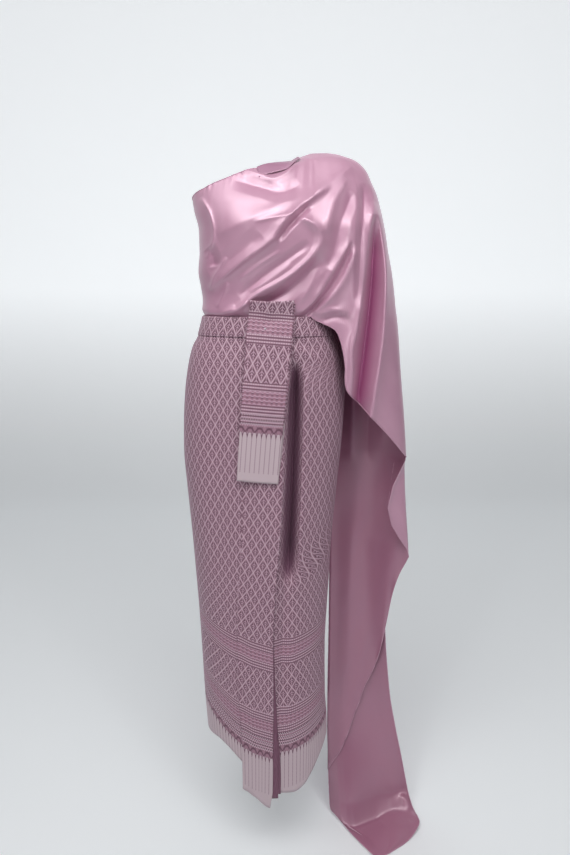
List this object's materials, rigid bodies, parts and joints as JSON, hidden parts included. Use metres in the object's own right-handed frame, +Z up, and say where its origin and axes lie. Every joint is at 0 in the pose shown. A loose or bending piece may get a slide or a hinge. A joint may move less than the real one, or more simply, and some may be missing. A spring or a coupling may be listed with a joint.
{
  "type": "dress",
  "caption": "Thai dress set: draped one-shoulder satin top with cape and floor-length tail over a brocade wrap skirt with a front pleat, a waistband and a hanging front tab.",
  "frame": {"origin": "middle of the waistband's upper edge, where the wearer's waist holds the dress", "axes": "+Z up, -Y the way the wearer faces, +X the wearer's left, where the cape and the tail hang"},
  "size_m": [0.5371, 0.2603, 1.5271],
  "materials": {
    "satin": "smooth mauve-pink satin",
    "satin_reverse": "duller inner layer of the satin",
    "brocade": "mauve brocade with a silvery woven lattice and borders"
  },
  "bodies": {
    "root": {"top_front": "satin", "top_back": "satin", "cape_front": "satin", "cape_back": "satin", "neck_layer": "satin_reverse", "tail": "satin", "tail_flap": "satin", "waistband": "brocade", "skirt_right": "brocade", "skirt_left": "brocade", "skirt_back": "brocade", "skirt_pleat": "brocade", "skirt_under_pleat_1": "brocade", "skirt_under_pleat_2": "brocade", "tab_front": "brocade", "tab_back": "brocade"}
  },
  "joints": []
}
